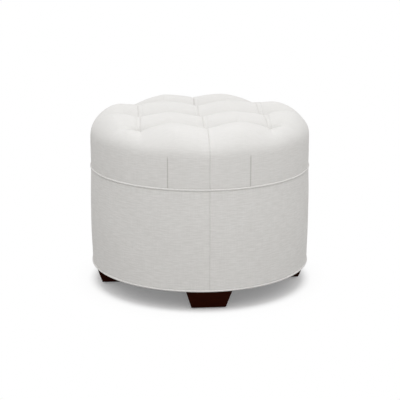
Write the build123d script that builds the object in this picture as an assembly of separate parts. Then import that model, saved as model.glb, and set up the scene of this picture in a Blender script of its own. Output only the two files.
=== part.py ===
from build123d import *
import math
import os

# A round tufted ottoman, in millimetres. The floor is z = 0 and the front seam faces -Y.

# Shared by all pieces
clearance = 0.3
overrun = 5
cloth_thickness = 1.5
small_sides = 8

# Outside of the upholstery
outer_radius = 280
band_height = 252
band_inset = 0.5
band_bulge = 3
border_pinch = 1
border_middle = 45
border_height = 86

# Crown and shoulder of the top, heights above the middle welt
crown_height = 148
shoulder_width = 110
shoulder_height = 150
shoulder_radius = 36

# Tufts and the pleats between them
tuft_rows = 3
tuft_pitch_x = 154
tuft_pitch_y = 141.5
column_fold_drop = 14
row_fold_drop = 18
tuft_drop = 18
fold_run_out = 400
rim_reach = 18
drum_rise = 12
strip_steps = 4

# Seams and darts
seam_width = 1.6
seam_depth = 0.8
dart_width = 3.2
dart_depth = 1
dart_height = 80
dart_angle = 20.8

# Welts
welt_radius = 2.5
welt_proud = 1.3
welt_cord_radius = 1.4
welt_sides = 8
cord_sides = 6
flange_thickness = 1.5
bottom_flange_width = 15

# Legs and glides
leg_height = 49
leg_width = 84
leg_setback = 24
leg_taper = 16.5
leg_edge_radius = 2
leg_sides = 4
glide_thickness = 3
glide_radius = 12
glide_nail_radius = 1.2
glide_nail_length = 12

# Leg fixings
bolt_radius = 4
bolt_in_leg = 34
bolt_end_spare = 1
bolt_tip_height = 6
bolt_tip_radius = 1.5
tee_flange_radius = 11
tee_flange_thickness = 1.5
tee_barrel_radius = 5
tee_barrel_length = 12
block_width = 90
block_thickness = 18
block_screw_spread = 66

# Frame
frame_inset = 15
base_thickness = 18
base_ring_width = 115
deck_thickness = 15
post_count = 8
post_width = 45
post_depth = 30
skin_thickness = 3
skin_joint = 2

# Wood screws
screw_radius = 2
screw_head_radius = 4
screw_head_height = 2.5
screw_length = 45
block_screw_length = 30

# Filling
foam_height = 78
tuft_hole_radius = 6
tack_strip_height = 14
tack_strip_thickness = 1.4

# Tufting ties
twine_radius = 1
knot_radius = 3.4
knot_height = 3
washer_radius = 11
washer_thickness = 2.5
deck_tie_hole_radius = 4

# Dust cover
dust_cover_thickness = 0.8
dust_cover_margin = 3
staple_inset = 6
staple_crown = 10
staple_wire = 0.9
staple_leg = 6
staples_per_side = 5
staple_first_angle = 23
staple_last_angle = 67

# Heights worked out from the sizes above
leg_top = glide_thickness + leg_height
flange_low = leg_top + dust_cover_thickness
bottom_welt_z = flange_low + flange_thickness / 2
base_low = flange_low + flange_thickness
base_high = base_low + base_thickness
middle_welt_z = bottom_welt_z + band_height
deck_high = middle_welt_z
deck_low = deck_high - deck_thickness
block_high = base_high + block_thickness
foam_high = deck_high + foam_height
cover_low = middle_welt_z + welt_radius + clearance
band_low = bottom_welt_z + welt_radius + clearance
band_high = middle_welt_z - welt_radius - clearance
shoulder_z = middle_welt_z + border_height
crown_z = middle_welt_z + crown_height
crown_edge_z = middle_welt_z + shoulder_height

# Radii worked out from the sizes above
welt_centre = outer_radius - welt_radius + welt_proud
frame_radius = outer_radius - frame_inset
skin_radius = frame_radius + skin_thickness
padding_radius = skin_radius + clearance
base_hole_radius = frame_radius - base_ring_width
bottom_flange_radius = frame_radius - bottom_flange_width
dust_cover_radius = frame_radius - dust_cover_margin
staple_radius = dust_cover_radius - staple_inset
leg_centre = outer_radius - leg_setback - leg_width / 2
band_radius = outer_radius - band_inset
crown_radius = outer_radius - shoulder_width
shoulder_rise = crown_edge_z - shoulder_z
crown_edge_radius = (
    shoulder_width**2 + shoulder_rise**2 - 2 * shoulder_width * shoulder_radius
) / (2 * (shoulder_rise - shoulder_radius))


def save(solids, name):
    """Write one sub-part, given as a solid or as a list of separate solids."""
    shape = Compound(children=list(solids)) if isinstance(solids, list) else solids
    export_step(shape, os.path.join("parts", name + ".step"))


def disc(radius, low, high):
    """A round plate between two heights."""
    plate = Cylinder(radius, high - low, align=(Align.CENTER, Align.CENTER, Align.MIN))
    return Pos(0, 0, low) * plate


def ring(inner, outer, low, high):
    """A round tube between two heights."""
    return disc(outer, low, high) - disc(inner, low - overrun, high + overrun)


def rod(radius, low, high):
    """A small round piece or hole between two heights, drawn with few sides."""
    return Pos(0, 0, low) * extrude(RegularPolygon(radius, small_sides), high - low)


def tapered_rod(low_radius, high_radius, low, high):
    """A small cone between two heights, drawn with few sides."""
    foot = Pos(0, 0, low) * RegularPolygon(low_radius, small_sides)
    head = Pos(0, 0, high) * RegularPolygon(high_radius, small_sides)
    return loft([foot, head], ruled=True)


def box_between(x_size, y_size, low, high):
    """An upright block centred on the axis between two heights."""
    block = Box(x_size, y_size, high - low, align=(Align.CENTER, Align.CENTER, Align.MIN))
    return Pos(0, 0, low) * block


def upright(radius, z):
    """A point in the upright plane through the axis."""
    return (radius, 0, z)


def on_circle(centre, radius, angle):
    """A point of a circle in the upright plane, with the angle in radians."""
    return upright(centre[0] + radius * math.cos(angle), centre[1] + radius * math.sin(angle))


def arc(centre, radius, first, last):
    """An arc in the upright plane, from one angle to another in radians."""
    return ThreePointArc(
        on_circle(centre, radius, first),
        on_circle(centre, radius, (first + last) / 2),
        on_circle(centre, radius, last),
    )


def turned(edges):
    """A solid turned about the axis from one closed outline."""
    return revolve(make_face(edges), Axis.Z)


def round_corners(count, radius, start=0):
    """Places spread evenly round the axis, each turned to face outward."""
    return [Rot(0, 0, start + 360 / count * i) * Pos(radius, 0, 0) for i in range(count)]


# Top form


def crowned_drum(inset):
    """The untufted top with its border and shoulder, drawn in by an inset."""
    low_centre = (outer_radius - shoulder_radius, shoulder_z)
    high_centre = (crown_radius, crown_edge_z - crown_edge_radius)
    turn = math.atan2(low_centre[1] - high_centre[1], low_centre[0] - high_centre[0])
    foot = upright(outer_radius - border_pinch - inset, cover_low)
    middle = upright(outer_radius - inset, middle_welt_z + border_middle)
    shoulder = upright(outer_radius - inset, shoulder_z)
    edge = upright(crown_radius, crown_edge_z - inset)
    top = upright(0, crown_edge_z + drum_rise - inset)
    return turned(
        [
            Line(upright(0, cover_low), foot),
            Line(foot, middle),
            Line(middle, shoulder),
            arc(low_centre, shoulder_radius - inset, 0, turn),
            arc(high_centre, crown_edge_radius - inset, turn, math.pi / 2),
            Line(edge, top),
            Line(top, upright(0, cover_low)),
        ]
    )


def fold_lines(pitch):
    """Places of the folds along one direction."""
    return [(i - (tuft_rows - 1) / 2) * pitch for i in range(tuft_rows)]


def fold_spans(pitch):
    """Pairs of places that each pillow lies between, the rim's pillows included."""
    rim = outer_radius + rim_reach
    places = [-rim, *fold_lines(pitch), rim]
    return list(zip(places, places[1:]))


def fold_share(place, spans):
    """How deep a place lies between its two folds, from 0 on a crest to 1 in a fold."""
    for first, last in spans:
        if first <= place <= last:
            return (2 * (place - first) / (last - first) - 1) ** 2
    return 1


def fold_fade(place, folds):
    """What is left of the crossing folds at a place past the last tuft."""
    beyond = max(abs(place) - folds[-1], 0)
    return (1 - beyond / fold_run_out) ** 2


def pillow_height(x, y, inset):
    """Height of the tufted top before its shoulder is rounded."""
    columns = fold_share(x, fold_spans(tuft_pitch_x)) * fold_fade(y, fold_lines(tuft_pitch_y))
    rows = fold_share(y, fold_spans(tuft_pitch_y)) * fold_fade(x, fold_lines(tuft_pitch_x))
    folds = column_fold_drop * columns + row_fold_drop * rows
    return crown_z - folds - tuft_drop * columns * rows - inset


def pillow_section(y, inset):
    """Upright section across the tufted top, an arc for each pillow."""
    spans = fold_spans(tuft_pitch_x)
    edges = []
    for left, right in spans:
        middle = (left + right) / 2
        points = [(x, y, pillow_height(x, y, inset)) for x in (left, middle, right)]
        edges.append(ThreePointArc(*points))
    low = cover_low - overrun
    left_foot = (spans[0][0], y, low)
    right_foot = (spans[-1][1], y, low)
    edges.append(Line(edges[-1] @ 1, right_foot))
    edges.append(Line(right_foot, left_foot))
    edges.append(Line(left_foot, edges[0] @ 0))
    return make_face(edges)


def pillow_strip(first, last, inset):
    """The top between two cross folds, lofted through its sections."""
    steps = [i / strip_steps for i in range(strip_steps + 1)]
    places = [first + (last - first) * step for step in steps]
    return loft([pillow_section(y, inset) for y in places], ruled=True)


def tuft_places():
    """Centres of all the tufts."""
    return [(x, y) for x in fold_lines(tuft_pitch_x) for y in fold_lines(tuft_pitch_y)]


def tufted_form(inset):
    """The tufted top as one solid, drawn in by an inset."""
    drum = crowned_drum(inset)
    strips = [pillow_strip(first, last, inset) & drum for first, last in fold_spans(tuft_pitch_y)]
    form = strips[0]
    for strip in strips[1:]:
        form += strip
    return form


def top_shell():
    """The whole tufted cover as a skin of even thickness, open below."""
    inside = tufted_form(cloth_thickness)
    return tufted_form(0) - inside


def sewn_groove(layer, width, angle, low, high):
    """A narrow groove down the front or back of a skin."""
    slot = Pos(0, -outer_radius, 0) * box_between(width, outer_radius, low, high)
    return layer & (Rot(0, 0, angle) * slot)


def top_cover_halves():
    """The tufted cover's left and right halves, with the seams and the darts."""
    cover = top_shell()
    seam_layer = crowned_drum(0) - crowned_drum(seam_depth)
    dart_layer = crowned_drum(0) - crowned_drum(dart_depth)
    for side in (0, 180):
        cover -= sewn_groove(seam_layer, seam_width, side, cover_low, shoulder_z)
        for angle in (-dart_angle, dart_angle):
            high = middle_welt_z + dart_height
            cover -= sewn_groove(dart_layer, dart_width, side + angle, cover_low, high)
    left = split(cover, Plane.YZ, keep=Keep.BOTTOM)
    right = split(cover, Plane.YZ, keep=Keep.TOP)
    return left, right


def band_outline(inset):
    """The barrelled drum under the middle welt, drawn in by an inset."""
    foot = upright(band_radius - inset, band_low)
    middle = upright(band_radius + band_bulge - inset, (band_low + band_high) / 2)
    top = upright(band_radius - inset, band_high)
    return turned(
        [
            ThreePointArc(foot, middle, top),
            Line(top, upright(0, band_high)),
            Line(upright(0, band_high), upright(0, band_low)),
            Line(upright(0, band_low), foot),
        ]
    )


def band_halves():
    """The lower cover's left and right halves, sewn at the front and the back."""
    band = band_outline(0) - band_outline(cloth_thickness)
    layer = band_outline(0) - band_outline(seam_depth)
    for side in (0, 180):
        band -= sewn_groove(layer, seam_width, side, band_low, band_high)
    left = split(band, Plane.YZ, keep=Keep.BOTTOM)
    right = split(band, Plane.YZ, keep=Keep.TOP)
    return left, right


# Filling


def tufted_pad():
    """Soft filling over the firm foam, with a hole under each tuft."""
    pad = tufted_form(cloth_thickness + clearance)
    pad -= disc(outer_radius, cover_low - overrun, foam_high + clearance)
    for x, y in tuft_places():
        pad -= Pos(x, y, 0) * rod(knot_radius + clearance, foam_high, crown_z + overrun)
    return pad


def foam_block():
    """Firm foam on the deck, rebated over the middle seam, with a hole for each tie."""
    foam = crowned_drum(cloth_thickness + clearance) & disc(outer_radius, cover_low, foam_high)
    foam += disc(frame_radius, deck_high, cover_low)
    for x, y in tuft_places():
        foam -= Pos(x, y, 0) * rod(tuft_hole_radius, deck_high - overrun, foam_high + overrun)
    return foam


def side_padding():
    """Padding between the skins and the lower cover, stepped over the tack strip."""
    padding = band_outline(cloth_thickness + clearance)
    padding -= disc(padding_radius, base_low, band_high + overrun)
    step = middle_welt_z - flange_thickness / 2 - tack_strip_height - clearance
    step_radius = padding_radius + tack_strip_thickness + clearance
    return padding - disc(step_radius, step, band_high + overrun)


def tack_strip():
    """Card strip that holds the top edge of the lower cover to the skins."""
    high = middle_welt_z - flange_thickness / 2
    return ring(padding_radius, padding_radius + tack_strip_thickness, high - tack_strip_height, high)


# Tufting ties


def tuft_bottom(x, y):
    """Height of the filling at a tuft."""
    return pillow_height(x, y, cloth_thickness + clearance)


def tuft_twines():
    """Twines from the tufts down through the deck, knotted at both ends."""
    twines = []
    for x, y in tuft_places():
        low = deck_low - washer_thickness
        high = tuft_bottom(x, y)
        twine = rod(twine_radius, low - overrun, high)
        twine += rod(knot_radius, high - knot_height, high)
        twine += rod(knot_radius, low - knot_height, low)
        twines.append(Pos(x, y, 0) * twine)
    return twines


def tuft_washers():
    """Washers that spread each tie's pull under the deck."""
    low = deck_low - washer_thickness
    washer = rod(washer_radius, low, deck_low)
    washer -= rod(twine_radius + clearance, low - overrun, deck_low + overrun)
    return [Pos(x, y, 0) * washer for x, y in tuft_places()]


# Welts


def welt_section(z, radius, sides):
    """Section of a welt or its cord in the upright plane, drawn with few sides."""
    return Plane.XZ * Pos(welt_centre, z) * RegularPolygon(radius, sides)


def welt(z, inner_radius):
    """Piping with its sewn flange, hollow for the filler cord."""
    width = welt_centre - inner_radius
    flange = Plane.XZ * Pos(inner_radius + width / 2, z) * Rectangle(width, flange_thickness)
    bore = welt_section(z, welt_cord_radius + clearance, cord_sides)
    section = welt_section(z, welt_radius, welt_sides) + flange - bore
    return revolve(section, Axis.Z)


def welt_cord(z):
    """Filler cord inside the piping."""
    return revolve(welt_section(z, welt_cord_radius, cord_sides), Axis.Z)


# Frame


def screw(length):
    """A countersunk wood screw, head up, with its head's face at z = 0."""
    head = tapered_rod(screw_radius, screw_head_radius, -screw_head_height, 0)
    return head + rod(screw_radius, -length, -screw_head_height)


def screw_hole(length):
    """The hole that a wood screw fills, with its countersink."""
    radius = screw_radius + clearance
    sink = tapered_rod(radius, screw_head_radius + clearance, -screw_head_height, 0)
    return sink + rod(radius, -length - clearance, -screw_head_height)


def post_places():
    """Centres of the posts, each between two legs or beside one."""
    half_width = post_width / 2
    reach = math.sqrt((frame_radius - clearance) ** 2 - half_width**2)
    return round_corners(post_count, reach - post_depth / 2, 180 / post_count)


def leg_places(radius):
    """Places in line with the legs: right, back, left and front."""
    return round_corners(leg_sides, radius)


def deck_screw_places():
    """Where the deck's screws enter the posts, heads level with the deck's top."""
    return [Pos(0, 0, deck_high) * place for place in post_places()]


def base_screw_places():
    """Where the base ring's screws enter the posts, heads level with its underside."""
    return [Pos(0, 0, base_low) * place * Rot(180, 0, 0) for place in post_places()]


def block_screw_places():
    """Two screws down through each leg block."""
    spots = []
    for place in leg_places(leg_centre):
        for side in (-block_screw_spread / 2, block_screw_spread / 2):
            spots.append(Pos(0, 0, block_high) * place * Pos(0, side, 0))
    return spots


def post(place):
    """One upright between the base ring and the deck."""
    upright_post = place * box_between(post_depth, post_width, base_high, deck_low)
    for spot in deck_screw_places() + base_screw_places():
        upright_post -= spot * screw_hole(screw_length)
    return upright_post


def base_ring():
    """Plywood ring under the posts, drilled for the leg bolts and the screws."""
    plate = ring(base_hole_radius, frame_radius, base_low, base_high)
    for place in leg_places(leg_centre):
        plate -= place * rod(bolt_radius + clearance, base_low - overrun, base_high + overrun)
    for spot in base_screw_places() + block_screw_places():
        plate -= spot * screw_hole(screw_length)
    return plate


def deck():
    """Plywood disc that carries the foam, drilled for the ties and the screws."""
    plate = disc(frame_radius, deck_low, deck_high)
    for x, y in tuft_places():
        plate -= Pos(x, y, 0) * rod(deck_tie_hole_radius, deck_low - overrun, deck_high + overrun)
    for spot in deck_screw_places():
        plate -= spot * screw_hole(screw_length)
    return plate


def skin_halves():
    """Two bent hardboard sheets round the frame, butted on two of the posts."""
    wall = ring(frame_radius, skin_radius, base_low, deck_high)
    joint = box_between(2 * skin_radius + overrun, skin_joint, base_low, deck_high)
    wall -= Rot(0, 0, 90 + 180 / post_count) * joint
    sides = wall.solids().sort_by(Axis.X)
    return sides[0], sides[-1]


def leg_block(place):
    """Plywood block on the base ring that takes a tee nut."""
    block = place * box_between(block_width, block_width, base_high, block_high)
    low = block_high - tee_barrel_length
    block -= place * rod(tee_barrel_radius + clearance, low - clearance, block_high + overrun)
    block -= place * rod(bolt_radius + clearance, base_high - overrun, block_high)
    for spot in block_screw_places():
        block -= spot * screw_hole(block_screw_length)
    return block


# Legs and their fixings


def leg(place):
    """A square block leg that flares upward, its four long edges just rounded."""
    foot = Pos(0, 0, glide_thickness) * Rectangle(leg_width, leg_width)
    body = extrude(foot, leg_height, taper=-leg_taper)
    long_edges = body.edges().filter_by(Plane.XY, reverse=True)
    return place * fillet(long_edges, leg_edge_radius)


def tee_nuts():
    """Tee nuts pressed into the leg blocks from above."""
    nuts = []
    for place in leg_places(leg_centre):
        nut = rod(tee_flange_radius, block_high, block_high + tee_flange_thickness)
        nut += rod(tee_barrel_radius, block_high - tee_barrel_length, block_high)
        low = block_high - tee_barrel_length - overrun
        nuts.append(place * (nut - rod(bolt_radius + clearance, low, block_high + overrun)))
    return nuts


def hanger_bolts():
    """Bolts from each leg up through the frame into its tee nut."""
    bolts = []
    low = leg_top - bolt_in_leg
    high = block_high + tee_flange_thickness + bolt_end_spare
    tip_high = low + bolt_tip_height
    bolt = tapered_rod(bolt_tip_radius, bolt_radius, low, tip_high)
    bolt += rod(bolt_radius, tip_high, high)
    for place in leg_places(leg_centre):
        bolts.append(place * bolt)
    return bolts


def leg_glides():
    """Nail-on glides under the legs."""
    glides = []
    for place in leg_places(leg_centre):
        glide = disc(glide_radius, 0, glide_thickness)
        glide += rod(glide_nail_radius, glide_thickness, glide_thickness + glide_nail_length)
        glides.append(place * glide)
    return glides


# Dust cover


def dust_cover():
    """Thin cloth disc under the base, with a hole for each leg bolt."""
    sheet = disc(dust_cover_radius, leg_top, flange_low)
    for place in leg_places(leg_centre):
        sheet -= place * rod(bolt_radius + clearance, leg_top - overrun, flange_low + overrun)
    return sheet


def staples():
    """Staples round the dust cover between the legs, with their legs in the base ring."""
    pieces = []
    step = (staple_last_angle - staple_first_angle) / (staples_per_side - 1)
    for quarter in range(leg_sides):
        for i in range(staples_per_side):
            crown = box_between(staple_wire, staple_crown, leg_top - staple_wire, leg_top)
            prong = box_between(staple_wire, staple_wire, leg_top, leg_top + staple_leg)
            for side in (-1, 1):
                crown += Pos(0, side * (staple_crown - staple_wire) / 2, 0) * prong
            angle = 360 / leg_sides * quarter + staple_first_angle + step * i
            pieces.append(Rot(0, 0, angle) * Pos(staple_radius, 0, 0) * crown)
    return pieces


def build():
    """Write every sub-part."""
    top_left, top_right = top_cover_halves()
    save(top_left, "top_cover_left")
    save(top_right, "top_cover_right")
    band_left, band_right = band_halves()
    save(band_left, "band_left")
    save(band_right, "band_right")
    save(welt(middle_welt_z, padding_radius), "middle_welt")
    save(welt_cord(middle_welt_z), "middle_welt_cord")
    save(welt(bottom_welt_z, bottom_flange_radius), "bottom_welt")
    save(welt_cord(bottom_welt_z), "bottom_welt_cord")
    save(tufted_pad(), "tufted_pad")
    save(foam_block(), "foam_block")
    save(side_padding(), "side_padding")
    save(tack_strip(), "tack_strip")
    save(tuft_twines(), "tuft_twines")
    save(tuft_washers(), "tuft_washers")
    save(deck(), "deck")
    save(base_ring(), "base_ring")
    skin_left, skin_right = skin_halves()
    save(skin_left, "skin_left")
    save(skin_right, "skin_right")
    for number, place in enumerate(post_places(), start=1):
        save(post(place), f"post_{number}")
    sides = ("right", "back", "left", "front")
    for side, place in zip(sides, leg_places(leg_centre)):
        save(leg(place) - leg_holes(place), f"leg_{side}")
        save(leg_block(place), f"leg_block_{side}")
    save([spot * screw(screw_length) for spot in deck_screw_places()], "deck_screws")
    save([spot * screw(screw_length) for spot in base_screw_places()], "base_screws")
    save([spot * screw(block_screw_length) for spot in block_screw_places()], "block_screws")
    save(tee_nuts(), "tee_nuts")
    save(hanger_bolts(), "hanger_bolts")
    save(leg_glides(), "leg_glides")
    save(dust_cover(), "dust_cover")
    save(staples(), "dust_cover_staples")


def leg_holes(place):
    """The bolt's hole in the top of a leg and the glide's nail hole below."""
    bolt_hole = rod(bolt_radius + clearance, leg_top - bolt_in_leg - clearance, leg_top + overrun)
    nail_top = glide_thickness + glide_nail_length + clearance
    nail_hole = rod(glide_nail_radius + clearance, glide_thickness - overrun, nail_top)
    return place * (bolt_hole + nail_hole)


if __name__ == "__main__":
    os.makedirs("parts", exist_ok=True)
    build()
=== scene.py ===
import math

import bpy
import numpy as np
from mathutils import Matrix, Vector


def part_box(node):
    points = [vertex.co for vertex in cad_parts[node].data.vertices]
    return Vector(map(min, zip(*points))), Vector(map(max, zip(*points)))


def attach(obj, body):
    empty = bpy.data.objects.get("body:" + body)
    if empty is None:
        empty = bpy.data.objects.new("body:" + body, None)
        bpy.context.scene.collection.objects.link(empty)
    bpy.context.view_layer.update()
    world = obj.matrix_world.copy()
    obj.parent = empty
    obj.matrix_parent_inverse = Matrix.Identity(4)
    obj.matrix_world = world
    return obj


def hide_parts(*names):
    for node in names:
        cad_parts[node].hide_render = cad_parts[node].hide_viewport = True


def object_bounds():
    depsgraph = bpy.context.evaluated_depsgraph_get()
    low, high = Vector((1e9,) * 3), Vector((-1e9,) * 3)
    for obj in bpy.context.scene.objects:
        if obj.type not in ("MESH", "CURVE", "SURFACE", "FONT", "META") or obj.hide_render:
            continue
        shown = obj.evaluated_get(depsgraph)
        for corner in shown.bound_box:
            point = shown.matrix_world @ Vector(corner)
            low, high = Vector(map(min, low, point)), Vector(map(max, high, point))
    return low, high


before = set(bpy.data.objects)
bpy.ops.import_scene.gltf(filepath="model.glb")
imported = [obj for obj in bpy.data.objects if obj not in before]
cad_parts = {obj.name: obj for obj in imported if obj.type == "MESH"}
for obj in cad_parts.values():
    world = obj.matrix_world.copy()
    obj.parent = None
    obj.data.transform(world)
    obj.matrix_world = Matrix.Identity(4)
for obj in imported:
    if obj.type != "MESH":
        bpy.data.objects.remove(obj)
cad_low, cad_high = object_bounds()

# Lengths are in metres, written as so many millimetres
mm = 0.001

# Heights and radii taken from the frame
welt_low, welt_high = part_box("middle_welt")
bottom_low, bottom_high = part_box("bottom_welt")
middle_z = (welt_low.z + welt_high.z) / 2
bottom_z = (bottom_low.z + bottom_high.z) / 2
foam_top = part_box("foam_block")[1].z
floor_z = cad_low.z

# Camera, fitted to the photograph's ellipses
image_width_px = 400
focal_length_px = 1254
sensor_width_mm = 36
camera_distance = 3145.2 * mm
camera_above_welt = 756.6 * mm
camera_pitch = math.radians(15.222)
camera_turn = math.radians(4.97)
camera_offset = 0.8 * mm

# Light: each lamp's place, aim and width in metres, and its power in watts
world_strength = 0.73
lamps = {
    "top": ((0, -0.2, 1.9), (0, 0, 0.3), 2.0, 5.2),
    "key": ((-0.1, -1.5, 1.7), (0, 0, 0.3), 1.4, 6.0),
    "front": ((0.2, -3.5, 0.5), (0, 0, 0.25), 0.8, 8.4),
    "back": ((0, 1.5, 2.2), (0, 0, 0.35), 1.5, 3.4),
    "side": ((2.6, -2.0, 1.4), (0, 0, 0.25), 2.0, 2.2),
    "left": ((-2.2, 0.3, 1.9), (0, 0, 0.35), 1.4, 4.5),
    "right": ((2.2, 0.3, 1.9), (0, 0, 0.35), 1.4, 3.9),
}

# Floor, and where it turns white, from the axis
floor_half = 6000 * mm
floor_glow = 0.19
floor_bounce = (0.38, 0.368, 0.35, 1)
shadow_start = 265 * mm
shadow_edge = 293 * mm
shadow_end = 350 * mm
shadow_edge_share = 0.88

# What repeats: tufts in steps of their pitch, seams by their angle, legs and corners
tuft_places = (-1, 0, 1)
seam_angles = (-math.pi / 2, math.pi / 2)
leg_sides = ("front", "right", "back", "left")
square = ((-1, -1), (1, -1), (1, 1), (-1, 1))

# Outside of the upholstery
outer_radius = 280 * mm
wall_start = 262 * mm
wall_full = 278 * mm
border_ease = 0.6 * mm
border_pinch = 1.1 * mm
border_pinch_height = 9 * mm
shoulder_blend = 7 * mm
blend_run = 25 * mm
blend_low = 20 * mm
blend_high = 50 * mm
least_radius = 1 * mm

# Form of the tufted top, heights above the middle welt
column_pitch = 158.3 * mm
row_pitch = 144.6 * mm
crown_height = 160.8 * mm
rim_rise = 3.9 * mm
rim_rise_radius = 205 * mm
column_drop = 17.2 * mm
row_drop = 20.8 * mm
cross_drop = 12.5 * mm
column_power = 1.94
row_power = 2.21
cross_power = 1.32
rim_pillow_x = 114.3 * mm
rim_pillow_y = 150.8 * mm
fade_run = 600 * mm
fade_power = 0.31
dimple_depth = 14 * mm
dimple_radius = 44.4 * mm
dimple_power = 1.5
shoulder_start = 188.7 * mm
shoulder_height = 157 * mm
border_height = 89.2 * mm
shoulder_power = 1.13
shoulder_lift = 20 * mm
shoulder_lift_radius = 243.2 * mm
shoulder_lift_width = 35.8 * mm
rim_fill_share = 0.5
soft_blend = 60 * mm

# Pleats, tucks and gathers of the top
pleat_depth = 2.2 * mm
pleat_faint = 1.8 * mm
pleat_width = 1.3 * mm
pleat_power = 1.4
faint_power = 1.6
pleat_strip = 10 * mm
pleat_neck = 0.4
pleat_neck_power = 0.4
pleat_shown = 0.3
pleat_run_out = 6 * mm
pleat_fade_radius = 225 * mm
middle_pleat_share = 0.7
back_pleat_share = 0.45
pleat_lean = 3 * mm
pleat_lean_power = 0.6
pleat_lap = 0.3 * mm
lap_rise = 1.5 * mm
lap_fall = 2 * mm
middle_pleat = 50 * mm
corner_pleat = 28 * mm
row_tuck_depth = 1.8 * mm
row_tuck_width = 8 * mm
row_tuck_back = 3 * mm
row_tuck_fade = 40 * mm
pinch_depth = 3.5 * mm
pinch_radius = 9 * mm
pinch_power = 1.5
corner_pit_depth = 9 * mm
corner_pit_length = 17 * mm
corner_pit_width = 9 * mm
gather_depth = 0.6 * mm
gather_radius = 11 * mm
gather_count = 9
gather_turn = 1.3
tuft_edge = 2 * mm
notch_length = 14 * mm
notch_widening = 2.5

# Seams and darts
seam_depth = 0.7 * mm
top_seam_depth = 1.6 * mm
seam_width = 1.5 * mm
seam_power = 1.2
seam_roll_share = 0.25
pucker_depth = 0.35 * mm
pucker_pitch = 9 * mm
pucker_reach = 6 * mm
dart_depth = 0.7 * mm
dart_width = 1.7 * mm
dart_angle = math.radians(20.8)
dart_height = 82 * mm
dart_fade = 10 * mm
stitch_width = 1.1 * mm

# Painted shade: how far the cloth darkens in each kind of fold and seam, and under the middle welt
outer_pleat_shade = 0.3
middle_pleat_shade = 0.1
top_seam_shade = 0.12
row_fold_shade = 0.14
row_fold_shade_power = 1.2
tuck_shade = 0.2
notch_shade = 0.9
wall_seam_shade = 0.35
under_welt_shade = 0.5
wall_shade_start = 215 * mm
wall_shade_full = 250 * mm

# Lower band
band_bulge = 2.4 * mm
band_foot_radius = 279.4 * mm
band_power = 1.3

# Welts
welt_radius = 2.5 * mm
welt_centre = welt_high.x - welt_radius
welt_gap = 2.4 * mm
welt_opening = math.radians(160)
under_welt_gap = 2.8 * mm
flange_half = 0.6 * mm
flange_start = 3 * mm
flange_reach = 12 * mm
tuck_depth = 4 * mm
tuck_drop = 1 * mm

# Legs
leg_taper = math.radians(17)
leg_ease = 0.8 * mm
leg_edge = 1.8 * mm
leg_edge_segments = 4

# Filling and dust cover
filling_inset = 9 * mm
contact_gap = 0.3 * mm
padding_corner = 0.25
padding_inset = 2.5 * mm
padding_ease = 2.5 * mm
padding_ease_power = 4
dust_sag = 2.2 * mm
dust_wrinkle = 0.7 * mm
dust_wrinkles = 26
dust_clamp = 30 * mm
dust_thickness = 0.5 * mm
bolt_hole_radius = 5 * mm

# Slow unevenness of each piece: its depth, the length of its waves and its seed
border_ripple = (0.3 * mm, 90 * mm, 3)
top_ripple = (0.5 * mm, 70 * mm, 5)
band_ripple = (0.5 * mm, 110 * mm, 7)
welt_ripple = (0.18 * mm, 24 * mm, 11)
padding_ripple = (0.3 * mm, 60 * mm, 13)
dust_ripple = (dust_wrinkle, 120 * mm, 17)
ripple_waves = 7

# Cloth: its threads, how strongly its slubs show, and where it turns over to the top
thread_pitch = 0.8 * mm
band_slubs = 0.98
border_slubs = 0.78
top_slubs = 0.3
lying_low = middle_z + 80 * mm
lying_high = middle_z + 125 * mm
welt_line = 2 * mm
linen_colour = (0.82, 0.81, 0.795, 1)
linen_shade = (0.73, 0.72, 0.70, 1)
# The last colour is the painted shade that folds and seams draw the cloth toward
painted_shade_colour = (0.34, 0.32, 0.29, 1)

# Mesh spacing
block_half_x = 186 * mm
block_half_y = 170 * mm
coarse_step = 3.2 * mm
fine_step = 0.8 * mm
fine_reach = 7 * mm
wall_step = 2.5 * mm
border_run = 230 * mm
spacing_samples = 400
shoulder_points = 90
shoulder_crowding = 0.8
border_points = 45
path_points = 160
soften_rounds = 3
filling_steps = 90
padding_turns = 240
padding_bends = 60
welt_turns = 900
welt_bends = 22


def smoothstep(value, low, high):
    """0 below low, 1 above high and smooth between them."""
    share = np.clip((value - low) / (high - low), 0, 1)
    return share * share * (3 - 2 * share)


def spaced(first, last, marks):
    """Places from first to last, through each mark and closer together near the marks."""
    stops = [first, *[mark for mark in sorted(marks) if first < mark < last], last]
    places = [np.array([first])]
    for low, high in zip(stops, stops[1:]):
        fine = np.linspace(low, high, spacing_samples)
        nearest = np.min([np.abs(fine - mark) for mark in marks], axis=0)
        step = fine_step + (coarse_step - fine_step) * smoothstep(nearest, 0, 3 * fine_reach)
        count = np.concatenate([[0], np.cumsum(np.diff(fine) / ((step[1:] + step[:-1]) / 2))])
        steps = max(int(round(count[-1])), 1)
        places.append(np.interp(np.arange(1, steps + 1) * count[-1] / steps, count, fine))
    return np.concatenate(places)


def new_piece(name, points, faces, cloth=None, wall=None, painted_shade=None):
    """A smooth-shaded mesh piece that keeps its places on the cloth and its painted shade for folds and
    seams as attributes.
    """
    mesh = bpy.data.meshes.new(name)
    mesh.from_pydata(points.tolist(), [], faces.tolist() if hasattr(faces, "tolist") else faces)
    if cloth is not None:
        for attribute, places in (("cloth", cloth), ("wall", cloth if wall is None else wall)):
            layer = mesh.attributes.new(attribute, "FLOAT_VECTOR", "POINT")
            layer.data.foreach_set("vector", np.ascontiguousarray(places, dtype=np.float32).ravel())
    if painted_shade is not None:
        layer = mesh.attributes.new("painted_shade", "FLOAT", "POINT")
        layer.data.foreach_set("value", np.ascontiguousarray(painted_shade, dtype=np.float32).ravel())
    mesh.polygons.foreach_set("use_smooth", [True] * len(mesh.polygons))
    mesh.update()
    piece = bpy.data.objects.new(name, mesh)
    bpy.context.scene.collection.objects.link(piece)
    return piece


def finish_piece(piece, node, material):
    """Gives a piece its material and lets it ride on the root in place of a node."""
    piece.data.materials.append(material)
    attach(piece, "root")
    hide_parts(node)


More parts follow.
